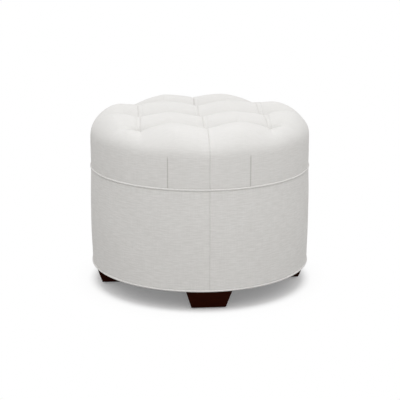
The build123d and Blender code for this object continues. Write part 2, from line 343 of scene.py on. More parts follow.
def grid_faces(index):
    """Quads of a grid of point numbers."""
    corners = [index[:-1, :-1], index[1:, :-1], index[1:, 1:], index[:-1, 1:]]
    return np.stack(corners, axis=-1).reshape(-1, 4)


def tube_faces(shape):
    """Quads of a grid of points that closes both ways."""
    index = np.arange(shape[0] * shape[1]).reshape(shape)
    index = np.vstack([index, index[:1]])
    return grid_faces(np.column_stack([index, index[:, :1]]))


def turned_grids(turns, radius, z):
    """Grids of the turn, radius and height of a section carried round the axis."""
    grid_turn, grid_radius = np.meshgrid(turns, radius, indexing="ij")
    return grid_turn, grid_radius, np.meshgrid(turns, z, indexing="ij")[1]


def turned_points(turn, radius, z):
    """The points at so many turns, radii and heights."""
    return np.stack([radius * np.cos(turn), radius * np.sin(turn), z], axis=-1).reshape(-1, 3)


def ripple(x, y, z, depth, length, seed):
    """A smooth wavy field from a few fixed waves, about as high and as low as its depth."""
    random = np.random.default_rng(seed)
    total = 0
    for _ in range(ripple_waves):
        direction = random.normal(size=3)
        direction *= random.uniform(0.6, 1.5) * 2 * math.pi / length / np.linalg.norm(direction)
        start = random.uniform(0, 2 * math.pi)
        total = total + np.sin(direction[0] * x + direction[1] * y + direction[2] * z + start)
    return depth * total / (ripple_waves / 2)


# Form of the tufted top


def pillow_share(place, pitch, rim, power):
    """1 in a fold and 0 on the crest between two folds, and on the rim past its last fold."""
    across = np.abs(place)
    inner = np.abs(2 * (across % pitch) / pitch - 1) ** power
    rim_share = np.clip(1 - 2 * (across - pitch) / rim, 0, 1) ** power
    return np.where(across > pitch, rim_share, inner)


def fold_fade(place, pitch):
    """What is left of the crossing folds past the last tuft."""
    return (1 - np.clip((np.abs(place) - pitch) / fade_run, 0, 1)) ** fade_power


def shoulder_drum(x, radius):
    """Height of the untufted shoulder, lifted where the rim's pillows fill it."""
    share = np.clip((radius - shoulder_start) / (outer_radius - shoulder_start), 0, 1)
    round_off = (1 - share**shoulder_power) ** (1 / shoulder_power)
    filled = 1 - rim_fill_share * pillow_share(x, column_pitch, rim_pillow_x, 1)
    lift = shoulder_lift * np.exp(-(((radius - shoulder_lift_radius) / shoulder_lift_width) ** 2)) * filled
    return border_height + (shoulder_height - border_height) * round_off + lift


def tuft_offsets(x, y):
    """Offsets from each point's nearest tuft, and that tuft's column and row."""
    column = np.round(np.clip(x / column_pitch, -1, 1))
    row = np.round(np.clip(y / row_pitch, -1, 1))
    return x - column * column_pitch, y - row * row_pitch, column, row


def tuft_dip(x, y):
    """The dip round each tuft but the four at the corners, which the folds draw in enough."""
    away_x, away_y, column, row = tuft_offsets(x, y)
    dip = np.exp(-((np.hypot(away_x, away_y) / dimple_radius) ** dimple_power))
    return dimple_depth * dip * (1 - np.abs(column * row))


def top_form(x, y):
    """Height of the tufted top above the middle welt, without its pleats."""
    radius = np.hypot(x, y)
    fade_y = fold_fade(y, row_pitch)
    fade_x = fold_fade(x, column_pitch)
    columns = pillow_share(x, column_pitch, rim_pillow_x, column_power) * fade_y
    rows = pillow_share(y, row_pitch, rim_pillow_y, row_power) * fade_x
    crossing = pillow_share(x, column_pitch, rim_pillow_x, cross_power) * fade_y
    crossing = crossing * pillow_share(y, row_pitch, rim_pillow_y, cross_power) * fade_x
    slab = crown_height + rim_rise * (radius / rim_rise_radius) ** 2
    slab = slab - column_drop * columns - row_drop * rows - cross_drop * crossing - tuft_dip(x, y)
    drum = shoulder_drum(x, radius)
    share = np.clip(0.5 + 0.5 * (drum - slab) / soft_blend, 0, 1)
    return drum * (1 - share) + slab * share - soft_blend * share * (1 - share)


def pleat(across, along, pitch, reach, side):
    """A lapped fold between two tufts: a deep line, and a strip laid to one side of it."""
    ends = 1 - smoothstep(np.abs(along), reach, reach + pleat_run_out)
    between = np.abs(np.sin(math.pi * along / pitch))
    width = pleat_strip * (pleat_neck + (1 - pleat_neck) * between**pleat_neck_power)
    over = across * side
    shown = smoothstep(between, 0, pleat_shown)
    deep = pleat_depth * np.exp(-((np.abs(across) / pleat_width) ** pleat_power))
    faint = pleat_faint * np.exp(-((np.abs(over - width) / pleat_width) ** faint_power))
    strip = pleat_lap * smoothstep(over, 0, lap_rise) * (1 - smoothstep(over, width - lap_fall, width))
    return ends * (deep + shown * (faint - strip))


def column_side(column, y):
    """Which way a column's pleat is laid: it turns over in one of its stretches."""
    stretch = np.floor(y / row_pitch + 1)
    return np.where(stretch == column + 1, -1, 1)


def column_line(column, y):
    """Where a column's fold runs: the outer ones lean in between two tufts."""
    lean = pleat_lean * np.abs(np.sin(math.pi * y / row_pitch)) ** pleat_lean_power
    return column * (column_pitch - lean)


def row_tuck(x, y):
    """1 where the cloth turns up from a fold between two rows, 0 away from it."""
    between = 1 - smoothstep(np.abs(x), column_pitch, column_pitch + row_tuck_fade)
    behind = [y - row * row_pitch - row_tuck_back for row in tuft_places]
    return np.max([np.exp(-((away / row_tuck_width) ** 2)) for away in behind], axis=0) * between


def top_pleats(x, y):
    """Depth of all the pleats, and of the pinch and the gathers at each tuft."""
    depth = 0
    for place in tuft_places:
        reach = row_pitch + (0 if place else middle_pleat)
        share = 1 if place else np.where(y > row_pitch, back_pleat_share, middle_pleat_share)
        across = x - column_line(place, y)
        depth = depth + share * pleat(across, y, row_pitch, reach, column_side(place, y))
        reach = column_pitch + (corner_pleat if place else 0)
        depth = depth + pleat(y - place * row_pitch, x, column_pitch, reach, -1)
    away_x, away_y, column, row = tuft_offsets(x, y)
    away = np.hypot(away_x, away_y)
    near = away / gather_radius
    waves = np.cos(gather_count * np.arctan2(away_y, away_x) + gather_turn)
    gathers = gather_depth * near * np.exp(1 - near) * waves
    beside = (away_x - column * corner_pit_length / 2) / corner_pit_length
    pit = np.exp(-(beside**2) - (away_y / corner_pit_width) ** 2) * np.abs(column * row)
    pinch = pinch_depth * np.exp(-((away / pinch_radius) ** pinch_power))
    return depth + gathers + pinch + corner_pit_depth * pit + row_tuck_depth * row_tuck(x, y)


def stitch_line(across):
    """1 in a stitched or folded line and 0 beside it: the profile of the painted shade laid along such a
    line.
    """
    return np.exp(-((across / stitch_width) ** 2))


def top_painted_shade(x, y):
    """How much painted shade each point of the tufted top gets in its folds and seams, from 0 to 1."""
    inside = 1 - smoothstep(np.abs(y), row_pitch, row_pitch + pleat_run_out)
    lines = [top_seam_shade * stitch_line(x), tuck_shade * row_tuck(x, y)]
    for place in tuft_places:
        share = outer_pleat_shade if place else middle_pleat_shade
        lines.append(share * stitch_line(x - column_line(place, y)) * inside)
    # Broad painted shade that deepens toward each fold between two rows, for the shadow of the deep tufting
    folds = pillow_share(y, row_pitch, rim_pillow_y, row_fold_shade_power)
    lines.append(row_fold_shade * folds * fold_fade(x, column_pitch) ** 2)
    beyond = smoothstep(np.abs(x), column_pitch - tuft_edge, column_pitch + tuft_edge)
    beyond = beyond * (1 - smoothstep(np.abs(x), column_pitch + notch_length, column_pitch + corner_pleat))
    lines.append(notch_shade * beyond * stitch_line((np.abs(y) - row_pitch) / notch_widening))
    return np.max(lines, axis=0)


# Seams and darts


def sewn_line(across, width, depth):
    """A sewn seam: a sharp valley between two softly rolled edges."""
    away = np.abs(across) / width
    rolled = np.exp(-(((away - 3) / 2) ** 2))
    return depth * (np.exp(-(away**seam_power)) - seam_roll_share * rolled)


def wall_seam(across, z):
    """The seam down a wall, with the small puckers that its stitches draw up."""
    puckers = pucker_depth * np.cos(z * 2 * math.pi / pucker_pitch) * np.exp(-np.abs(across) / pucker_reach)
    return sewn_line(across, seam_width, seam_depth) + puckers


def along_wall(angle, radius):
    """The way round the wall to an angle, by the shorter side."""
    return (np.mod(angle + math.pi, 2 * math.pi) - math.pi) * radius


def dart_share(z):
    """1 along a dart and 0 past its upper end."""
    return 1 - smoothstep(z, dart_height - dart_fade, dart_height)


def seam_on_top(x, y, radius):
    """Depth of the centre seam between the last tuft and the border."""
    beyond = smoothstep(np.abs(y), row_pitch - tuft_edge, row_pitch + pleat_run_out)
    top = 1 - smoothstep(radius, wall_start, wall_full)
    return sewn_line(x, seam_width, top_seam_depth) * beyond * top


# The tufted cover


def cover_grid():
    """Plan places of the cover's middle block, close together at its folds and darts."""
    dart_x = block_half_x * dart_angle / (math.pi / 4)
    columns = [place * column_pitch for place in tuft_places]
    rows = [place * row_pitch for place in tuft_places]
    xs = spaced(-block_half_x, block_half_x, [*columns, -dart_x, dart_x])
    return xs, spaced(-block_half_y, block_half_y, rows)


def block_edge(xs, ys):
    """Point numbers round the block's edge, with the border's angle that each goes out to."""
    quarter = math.pi / 4
    last_x = len(xs) - 1
    last_y = len(ys) - 1
    front = [(i, 0, -math.pi / 2 + quarter * xs[i] / block_half_x) for i in range(last_x)]
    right = [(last_x, j, quarter * ys[j] / block_half_y) for j in range(last_y)]
    back = [(i, last_y, math.pi / 2 - quarter * xs[i] / block_half_x) for i in range(last_x, 0, -1)]
    left = [(0, j, math.pi - quarter * ys[j] / block_half_y) for j in range(last_y, 0, -1)]
    return front + right + back + left


def border_path(start, angle, steps):
    """One path from the block's edge over the shoulder and down the border, evenly spaced."""
    end = np.array([math.cos(angle), math.sin(angle)]) * outer_radius
    share = np.linspace(0, 1, shoulder_points)[:, None] ** shoulder_crowding
    plan = start * (1 - share) + end * share
    height = top_form(plan[:, 0], plan[:, 1])
    down = np.linspace(0, 1, border_points)[1:] * (height[-1] - welt_gap)
    plan = np.vstack([plan, np.repeat(end[None, :], len(down), 0)])
    height = np.concatenate([height, height[-1] - down])
    path = np.column_stack([plan, height])
    for _ in range(soften_rounds):
        path = soften(even_path(path, path_points))
    return even_path(path, steps)


def even_path(path, count):
    """The same path with its points evenly spaced."""
    run = np.concatenate([[0], np.cumsum(np.linalg.norm(np.diff(path, axis=0), axis=1))])
    places = np.linspace(0, run[-1], count)
    return np.column_stack([np.interp(places, run, path[:, i]) for i in range(3)])


def soften(path):
    """Rounds the corner between the shoulder and the border."""
    spacing = np.linalg.norm(path[1] - path[0])
    reach = int(3 * shoulder_blend / spacing)
    offsets = np.arange(-reach, reach + 1)
    weights = np.exp(-0.5 * (offsets * spacing / shoulder_blend) ** 2)
    weights /= weights.sum()
    padded = np.pad(path, ((reach, reach), (0, 0)), mode="reflect", reflect_type="odd")
    smooth = np.column_stack([np.convolve(padded[:, i], weights, "valid") for i in range(3)])
    run = np.arange(len(path)) * spacing
    hold = smoothstep(run, 0, blend_run) * smoothstep(path[:, 2], blend_low, blend_high)
    return path + (smooth - path) * hold[:, None]


def border_shape(points):
    """Draws the border in at the welt and lets the cloth ripple a little."""
    x, y, z = points.T
    radius = np.hypot(x, y)
    angle = np.arctan2(y, x)
    wall = smoothstep(radius, wall_start, wall_full)
    inward = border_pinch * np.exp(-(z - welt_gap) / border_pinch_height) * wall
    inward = inward + (border_ease + ripple(x, y, z, *border_ripple)) * wall
    for side in seam_angles:
        inward = inward + wall_seam(along_wall(angle - side, radius), z) * wall
        for turn in (-dart_angle, dart_angle):
            across = along_wall(angle - side - turn, radius)
            inward = inward + sewn_line(across, dart_width, dart_depth) * dart_share(z) * wall
    scale = 1 - inward / np.maximum(radius, least_radius)
    return np.column_stack([x * scale, y * scale, z])


def border_painted_shade(points):
    """How much painted shade each point of the border gets in its seams and darts, from 0 to 1."""
    x, y, z = points.T
    radius = np.hypot(x, y)
    angle = np.arctan2(y, x)
    deepest = 0
    for side in seam_angles:
        for turn in (-dart_angle, 0, dart_angle):
            share = dart_share(z) if turn else wall_seam_shade
            line = stitch_line(along_wall(angle - side - turn, radius))
            deepest = np.maximum(deepest, line * share)
    return deepest * smoothstep(radius, wall_shade_start, wall_shade_full)


def rim_cloth(rim):
    """Where the border's paths lie on the flat cloth, each run straight out from the block."""
    steps = np.linalg.norm(np.diff(rim, axis=1), axis=2)
    run = np.column_stack([np.zeros(len(rim)), np.cumsum(steps, axis=1)])
    outward = rim[:, :, :2] / np.linalg.norm(rim[:, :, :2], axis=2, keepdims=True)
    return rim[:, :1, :2] + outward * run[:, :, None]


def cover_points():
    """All points of the tufted cover, its grids of point numbers and its places on the cloth."""
    xs, ys = cover_grid()
    grid_x, grid_y = np.meshgrid(xs, ys, indexing="ij")
    block = np.column_stack([grid_x.ravel(), grid_y.ravel(), top_form(grid_x, grid_y).ravel()])
    block_index = np.arange(len(block)).reshape(grid_x.shape)
    edge = block_edge(xs, ys)
    steps = int(border_run / wall_step)
    rim = np.array([border_path(np.array([xs[i], ys[j]]), angle, steps) for i, j, angle in edge])
    rim_index = len(block) + np.arange(len(edge) * (steps - 1)).reshape(len(edge), steps - 1)
    rim_index = np.column_stack([[block_index[i, j] for i, j, _ in edge], rim_index])
    rim_index = np.vstack([rim_index, rim_index[:1]])
    points = np.vstack([block, rim[:, 1:].reshape(-1, 3)])
    flat = np.vstack([block[:, :2], rim_cloth(rim)[:, 1:].reshape(-1, 2)])
    cloth = np.column_stack([flat, np.zeros(len(flat))])
    from_front = np.arctan2(points[:, 0], -points[:, 1])
    wall = np.column_stack([from_front * outer_radius, points[:, 2], np.zeros(len(points))])
    return points, block_index, rim_index, cloth, wall


def top_covers():
    """The tufted cover's left and right halves, sewn along the middle and tucked in at the welt."""
    points, block_index, rim_index, cloth, wall = cover_points()
    x, y = points[:, 0], points[:, 1]
    radius = np.hypot(x, y)
    top = 1 - smoothstep(radius, pleat_fade_radius, wall_start)
    # Painted shade in the folds and seams, kept as an attribute that darkens the cloth's colour
    painted_shade = np.maximum(top_painted_shade(x, y) * top, border_painted_shade(points))
    points[:, 2] -= top_pleats(x, y) * top + seam_on_top(x, y, radius)
    points[:, 2] += ripple(x, y, 0 * x, *top_ripple) * top
    points = border_shape(points)
    foot = rim_index[:-1, -1]
    tuck_scale = 1 - tuck_depth / outer_radius
    tucked = points[foot] * (tuck_scale, tuck_scale, 1) - (0, 0, tuck_drop)
    tuck_numbers = len(points) + np.arange(len(foot))
    rim_index = np.column_stack([rim_index, np.append(tuck_numbers, tuck_numbers[0])])
    points = np.vstack([points, tucked]) + (0, 0, middle_z)
    cloth, wall, painted_shade = [np.concatenate([values, values[foot]]) for values in (cloth, wall, painted_shade)]
    faces = np.vstack([grid_faces(block_index), grid_faces(rim_index)[:, ::-1]])
    centre = points[faces].mean(axis=1)
    for name, side in (("top_cover_left", -1), ("top_cover_right", 1)):
        chosen = faces[centre[:, 0] * side > 0]
        used, numbers = np.unique(chosen, return_inverse=True)
        title = name.replace("top", "tufted")
        piece = new_piece(title, points[used], numbers.reshape(-1, 4), cloth[used], wall[used], painted_shade[used])
        finish_piece(piece, name, cloth_material)


# Filling and dust cover


def disc_grid(radius):
    """Plan places of a square grid drawn out to a disc."""
    places = np.linspace(-1, 1, filling_steps)
    share_x, share_y = np.meshgrid(places, places, indexing="ij")
    reach = np.maximum(np.abs(share_x), np.abs(share_y))
    length = np.maximum(np.hypot(share_x, share_y), 1e-9)
    return share_x * reach / length * radius, share_y * reach / length * radius


def tufted_filling():
    """The soft filling under the cover: its form drawn in, flat on the foam block."""
    x, y = disc_grid(outer_radius - filling_inset)
    away_x, away_y, _, _ = tuft_offsets(x, y)
    tufts = pinch_depth * np.exp(-((np.hypot(away_x, away_y) / (2 * pinch_radius)) ** 2))
    top = top_form(x, y) + middle_z - filling_inset - tufts
    low = foam_top + contact_gap
    top = np.maximum(top, low + contact_gap)
    upper = np.column_stack([x.ravel(), y.ravel(), top.ravel()])
    lower = np.column_stack([x.ravel(), y.ravel(), np.full(x.size, low)])
    index = np.arange(x.size).reshape(x.shape)
    edge = np.concatenate([index[:-1, 0], index[-1, :-1], index[:0:-1, -1], index[0, :0:-1]])
    following = np.roll(edge, -1)
    sides = np.stack([edge, edge + x.size, following + x.size, following], axis=-1)
    faces = np.vstack([grid_faces(index), grid_faces(index)[:, ::-1] + x.size, sides])
    piece = new_piece("soft_filling", np.vstack([upper, lower]), faces)
    finish_piece(piece, "tufted_pad", fibre("soft_fibre"))


def side_filling():
    """The padding round the skins, a band of wadding with soft edges."""
    low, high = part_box("side_padding")
    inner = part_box("skin_right")[1].x + contact_gap
    outer = min(high.x, band_foot_radius - padding_inset)
    turns = np.linspace(0, 2 * math.pi, padding_turns, endpoint=False)
    bend = np.linspace(0, 2 * math.pi, padding_bends, endpoint=False)
    across = np.sign(np.cos(bend)) * np.abs(np.cos(bend)) ** padding_corner
    upward = np.sign(np.sin(bend)) * np.abs(np.sin(bend)) ** padding_corner
    section_r = (inner + outer) / 2 + across * (outer - inner) / 2
    section_z = (low.z + high.z) / 2 + upward * (high.z - low.z) / 2
    turn, radius, z = turned_grids(turns, section_r, section_z)
    uneven = ripple(outer * np.cos(turn), outer * np.sin(turn), z, *padding_ripple)
    radius = np.clip(radius + uneven, inner, outer)
    radius = np.minimum(radius, outer - padding_ease * np.abs(upward) ** padding_ease_power)
    piece = new_piece("side_filling", turned_points(turn, radius, z), tube_faces(radius.shape))
    finish_piece(piece, "side_padding", fibre("side_fibre"))


def dust_sheet():
    """Thin cloth stapled under the base: flat at its rim and over the legs, slack between them."""
    low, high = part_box("dust_cover")
    radius = high.x
    x, y = disc_grid(radius)
    away = np.hypot(x, y)
    loose = 1 - smoothstep(away, radius - dust_clamp, radius)
    holes = []
    for side in leg_sides:
        leg_low, leg_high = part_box("leg_" + side)
        centre = (leg_low + leg_high) / 2
        beside = np.maximum(np.abs(x - centre.x), np.abs(y - centre.y)) - (leg_high.x - leg_low.x) / 2
        loose = loose * smoothstep(beside, 0, dust_clamp)
        holes.append(np.hypot(x - centre.x, y - centre.y) < bolt_hole_radius)
    wrinkles = np.cos(dust_wrinkles * np.arctan2(y, x)) * (away / radius) ** 2
    sag = dust_sag + dust_wrinkle * wrinkles + ripple(x, y, 0 * x, *dust_ripple)
    z = low.z + dust_thickness - sag * loose
    faces = grid_faces(np.arange(x.size).reshape(x.shape))
    open_hole = np.any(holes, axis=0).ravel()[faces].any(axis=1)
    piece = new_piece("dust_sheet", np.column_stack([x.ravel(), y.ravel(), z.ravel()]), faces[~open_hole])
    layer = piece.modifiers.new("cloth", "SOLIDIFY")
    layer.thickness = dust_thickness
    layer.offset = 0
    finish_piece(piece, "dust_cover", nonwoven())


# Lower band


def band_profile():
    """Radius and height down the lower band, tucked in at both welts."""
    high = middle_z - under_welt_gap
    low = bottom_z + welt_gap
    share = np.linspace(1, 0, int((high - low) / wall_step))
    z = low + (high - low) * share
    radius = band_foot_radius + band_bulge * (4 * share * (1 - share)) ** band_power
    radius = np.concatenate([[radius[0] - tuck_depth], radius, [radius[-1] - tuck_depth]])
    z = np.concatenate([[z[0] + tuck_drop], z, [z[-1] - tuck_drop]])
    return radius, z


def band_covers():
    """The lower cover's left and right halves, sewn at the front and the back."""
    profile_radius, profile_z = band_profile()
    half_turn = math.pi * outer_radius
    along = spaced(-half_turn / 2, half_turn / 2, [-half_turn / 2, half_turn / 2])
    for name, side in (("band_left", -1), ("band_right", 1)):
        turns = along / outer_radius + (math.pi if side < 0 else 0)
        turn, radius, z = turned_grids(turns, profile_radius, profile_z)
        across = (half_turn / 2 - np.abs(along))[:, None] + 0 * z
        uneven = ripple(radius * np.cos(turn), radius * np.sin(turn), z, *band_ripple)
        points = turned_points(turn, radius - wall_seam(across, z) - uneven, z)
        cloth = np.stack([along[:, None] + 0 * z, z, 0 * z], axis=-1).reshape(-1, 3)
        # Painted shade under the middle welt and along the seams
        shade_under_welt = under_welt_shade * stitch_line(z - profile_z.max())
        painted_shade = np.maximum(wall_seam_shade * stitch_line(across), shade_under_welt)
        faces = grid_faces(np.arange(z.size).reshape(z.shape))[:, ::-1]
        piece = new_piece("lower_" + name, points, faces, cloth, None, painted_shade)
        finish_piece(piece, name, cloth_material)


# Welts


def welt_piping(node, height):
    """Bias-cut piping round its cord, with the flange that is sewn between the covers."""
    turns = np.linspace(0, 2 * math.pi, welt_turns, endpoint=False)
    bend = np.linspace(welt_opening, -welt_opening, welt_bends)
    flange = [welt_centre - flange_reach, welt_centre - flange_start]
    section_r = np.concatenate([flange, welt_centre + welt_radius * np.cos(bend), flange[::-1]])
    section_z = np.concatenate([[flange_half] * 2, welt_radius * np.sin(bend), [-flange_half] * 2])
    turn, radius, z = turned_grids(turns, section_r, section_z)
    uneven = ripple(outer_radius * np.cos(turn), outer_radius * np.sin(turn), 0, *welt_ripple)
    points = turned_points(turn, radius + uneven, z + height + uneven / 2)
    wrap = np.concatenate([[0], np.cumsum(np.hypot(np.diff(section_r), np.diff(section_z)))])
    along = turn * welt_centre
    bias = math.sqrt(0.5)
    cloth = np.stack([(along + wrap) * bias, (along - wrap) * bias, 0 * along], axis=-1).reshape(-1, 3)
    piece = new_piece(node.replace("welt", "piping"), points, tube_faces(z.shape)[:, ::-1], cloth)
    finish_piece(piece, node, cloth_material)


# Legs


def leg_piece(node):
    """A block leg that flares upward, with softly rounded edges."""
    low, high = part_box(node)
    centre = (low + high) / 2
    flare = math.tan(leg_taper) * (high.z - low.z)
    top = (high.x - low.x) / 2 + leg_ease
    points = []
    for half, z in ((top - flare, low.z), (top, high.z)):
        points += [(centre.x + x * half, centre.y + y * half, z) for x, y in square]
    faces = [(3, 2, 1, 0), (4, 5, 6, 7)] + [(i, (i + 1) % 4, 4 + (i + 1) % 4, 4 + i) for i in range(4)]
    piece = new_piece(node.replace("leg", "block_leg"), np.array(points), faces)
    bevel = piece.modifiers.new("edges", "BEVEL")
    bevel.width = leg_edge
    bevel.segments = leg_edge_segments
    bevel.harden_normals = True
    finish_piece(piece, node, leg_material)


# Materials


class Shader:
    """A material's or a world's nodes, with short calls for those that it uses."""

    def __init__(self, name, store=None):
        self.owner = (bpy.data.materials if store is None else store).new(name)
        self.owner.use_nodes = True
        self.tree = self.owner.node_tree
        self.surface = self.tree.nodes.get("Principled BSDF")

    def put(self, socket, value):
        """Links or sets one input."""
        if isinstance(value, bpy.types.NodeSocket):
            self.tree.links.new(value, socket)
        else:
            socket.default_value = value

    def node(self, kind, settings=None, **inputs):
        """A node with its settings and its inputs."""
        made = self.tree.nodes.new(kind)
        for key, value in (settings or {}).items():
            setattr(made, key, value)
        for key, value in inputs.items():
            self.put(made.inputs[key.replace("_", " ")], value)
        return made

    def math(self, operation, first, second=0.0):
        """One operation on one or two values."""
        made = self.node("ShaderNodeMath", {"operation": operation})
        self.put(made.inputs[0], first)
        self.put(made.inputs[1], second)
        return made.outputs[0]

    def plus(self, first, second):
        return self.math("ADD", first, second)

    def minus(self, first, second):
        return self.math("SUBTRACT", first, second)

    def times(self, first, second):
        return self.math("MULTIPLY", first, second)

    def weighted(self, first, first_weight, second, second_weight):
        """The sum of two values, each times its weight."""
        return self.plus(self.times(first, first_weight), self.times(second, second_weight))

    def between(self, share, first, second):
        """A value between two values."""
        return self.plus(first, self.times(share, self.minus(second, first)))

    def spread(self, value, low, high):
        """A value's range from low to high brought to 0 to 1."""
        inputs = {"Value": value, "From Min": low, "From Max": high}
        return self.node("ShaderNodeMapRange", None, **inputs).outputs["Result"]

    def wave(self, value, length):
        """A sine wave of one length."""
        return self.math("SINE", self.times(value, 2 * math.pi / length))

    def mix(self, share, first, second):
        """A colour between two colours."""
        made = self.node("ShaderNodeMix", {"data_type": "RGBA"}, Factor=share)
        colours = [socket for socket in made.inputs if socket.type == "RGBA"]
        self.put(colours[0], first)
        self.put(colours[1], second)
        return next(socket for socket in made.outputs if socket.type == "RGBA")

    def place(self):
        """Object coordinates, in metres."""
        return self.node("ShaderNodeTexCoord").outputs["Object"]

    def parts(self, vector):
        """The x, y and z of a vector."""
        return self.node("ShaderNodeSeparateXYZ", None, Vector=vector).outputs

    def attribute(self, name, output="Vector"):
        """What a mesh keeps at its points under a name."""
        return self.node("ShaderNodeAttribute", {"attribute_name": name}).outputs[output]

    def noise(self, place, scale, detail=3.0, roughness=0.5):
        """Noise of so many lumps to the metre."""
        inputs = {"Vector": place, "Scale": scale, "Detail": detail, "Roughness": roughness}
        return self.node("ShaderNodeTexNoise", None, **inputs).outputs[0]

    def grain(self, place, stretch, detail=3.0, roughness=0.5):
        """Noise with its own number of lumps to the metre along x, y and z."""
        scaled = self.node("ShaderNodeVectorMath", {"operation": "MULTIPLY"})
        self.put(scaled.inputs[0], place)
        self.put(scaled.inputs[1], stretch)
        return self.noise(scaled.outputs[0], 1.0, detail, roughness)

    def cells(self, place, scale):
        """Distance from the middle of the nearest of many cells."""
        return self.node("ShaderNodeTexVoronoi", None, Vector=place, Scale=scale).outputs["Distance"]

    def bump(self, height, distance, strength):
        """A bumped normal."""
        inputs = {"Height": height, "Distance": distance, "Strength": strength}
        return self.node("ShaderNodeBump", None, **inputs).outputs["Normal"]

    def finish(self, colour, roughness, normal=None, **fixed):
        """Links colour, roughness and bump, and sets the inputs that are even all over."""
        self.put(self.surface.inputs["Base Color"], colour)
        self.put(self.surface.inputs["Roughness"], roughness)
        if normal is not None:
            self.put(self.surface.inputs["Normal"], normal)
        for key, value in fixed.items():
            self.surface.inputs[key.replace("_", " ")].default_value = value
        return self.owner

    def seen(self):
        """1 for rays from the camera and for those that gloss or glass sends on, 0 for the rest."""
        rays = self.node("ShaderNodeLightPath").outputs
        straight = self.math("MAXIMUM", rays["Is Camera Ray"], rays["Is Glossy Ray"])
        return self.math("MAXIMUM", straight, rays["Is Transmission Ray"])

    def show(self, output, share, first, second):
        """Sends a mix of two shaders to the output."""
        made = self.node("ShaderNodeMixShader")
        for socket, value in zip(made.inputs, (share, first.outputs[0], second.outputs[0])):
            self.put(socket, value)
        self.put(self.tree.nodes[output].inputs["Surface"], made.outputs[0])


def weave(shader, place):
    """Height of a plain weave of round threads, from 0 to 1."""
    waves = [shader.wave(part, 2 * thread_pitch) for part in shader.parts(place)[:2]]
    warp, weft = [shader.math("ABSOLUTE", wave) for wave in waves]
    over = shader.math("GREATER_THAN", shader.times(waves[0], waves[1]), 0.0)
    return shader.weighted(warp, over, weft, shader.minus(1.0, over))


def slub_tones(shader, place):
    """Threads, slubs and streaks of the cloth at one mapping."""
    slubs = shader.grain(place, (40, 330, 1), detail=5.0, roughness=0.68)
    warp_slubs = shader.grain(place, (700, 22, 1), detail=3.0, roughness=0.55)
    warp_part = shader.times(shader.spread(warp_slubs, 0.4, 0.7), 0.35)
    return weave(shader, place), slubs, shader.plus(shader.spread(slubs, 0.36, 0.66), warp_part)


def linen():
    """Off-white linen-look cloth with slubs along its weft, upright on the walls, with painted shade in its
    folds and seams and between its threads.
    """
    shader = Shader("linen_cloth")
    height = shader.parts(shader.place())["Z"]
    lying = shader.spread(height, lying_low, lying_high)
    on_wall = slub_tones(shader, shader.attribute("wall"))
    on_top = slub_tones(shader, shader.attribute("cloth"))
    threads, slubs, streaks = [shader.between(lying, wall, top) for wall, top in zip(on_wall, on_top)]
    above_welt = shader.spread(height, middle_z - welt_line, middle_z + welt_line)
    strength = shader.between(lying, shader.between(above_welt, band_slubs, border_slubs), top_slubs)
    uneven = shader.times(shader.minus(streaks, 0.6), strength)
    clouds = shader.noise(shader.place(), scale=9.0)
    tone = shader.plus(shader.plus(uneven, 0.3), shader.times(clouds, 0.3))
    # Painted shade in the weave: lighter on the threads' crowns, darker between them
    tone = shader.plus(tone, shader.times(threads, 0.35))
    base = shader.mix(shader.spread(tone, 0.25, 1.15), linen_shade, linen_colour)
    # Painted shade: the cloth darkens toward a dark colour in its folds and seams and under the middle welt
    base = shader.mix(shader.times(shader.attribute("painted_shade", "Fac"), 0.6), base, painted_shade_colour)
    normal = shader.bump(shader.weighted(threads, 0.5, streaks, 0.6), distance=0.35 * mm, strength=0.5)
    roughness = shader.plus(0.78, shader.times(slubs, 0.18))
    return shader.finish(
        base, roughness, normal, Sheen_Weight=0.12, Sheen_Roughness=0.5, Specular_IOR_Level=0.3
    )


def dark_wood():
    """Espresso-stained hardwood with a matt finish, its grain along the width."""
    shader = Shader("dark_wood")
    place = shader.place()
    warp = shader.noise(place, scale=18.0, detail=2.0)
    grain = shader.grain(place, (30, 30, 420), detail=5.0, roughness=0.6)
    pores = shader.spread(shader.grain(place, (90, 90, 1500), roughness=0.6), 0.62, 0.74)
    tone = shader.spread(shader.weighted(grain, 0.7, warp, 0.4), 0.38, 0.75)
    stain = shader.mix(tone, (0.012, 0.0013, 0.0002, 1), (0.029, 0.0042, 0.0008, 1))
    colour = shader.mix(shader.times(pores, 0.6), stain, (0.004, 0.001, 0.0003, 1))
    normal = shader.bump(shader.minus(grain, pores), distance=0.12 * mm, strength=0.35)
    roughness = shader.plus(0.5, shader.times(grain, 0.2))
    return shader.finish(colour, roughness, normal, Specular_IOR_Level=0.03)


def fibre(name):
    """Loose white polyester fibre."""
    shader = Shader(name)
    place = shader.place()
    tufts = shader.noise(place, scale=60.0, detail=6.0, roughness=0.7)
    strands = shader.grain(place, (900, 300, 900), detail=4.0, roughness=0.7)
    colour = shader.mix(tufts, (0.74, 0.74, 0.72, 1), (0.88, 0.88, 0.87, 1))
    normal = shader.bump(shader.plus(tufts, strands), distance=1.2 * mm, strength=0.6)
    roughness = shader.spread(tufts, -2.0, 1.2)
    return shader.finish(colour, roughness, normal, Sheen_Weight=0.3, Specular_IOR_Level=0.2)


def foam():
    """Firm cream foam with open cells."""
    shader = Shader("firm_foam")
    place = shader.place()
    blotch = shader.noise(place, scale=12.0)
    colour = shader.mix(blotch, (0.78, 0.70, 0.44, 1), (0.84, 0.77, 0.54, 1))
    normal = shader.bump(shader.cells(place, scale=650.0), distance=0.5 * mm, strength=0.7)
    return shader.finish(colour, shader.spread(blotch, -3.0, 1.3), normal, Specular_IOR_Level=0.2)


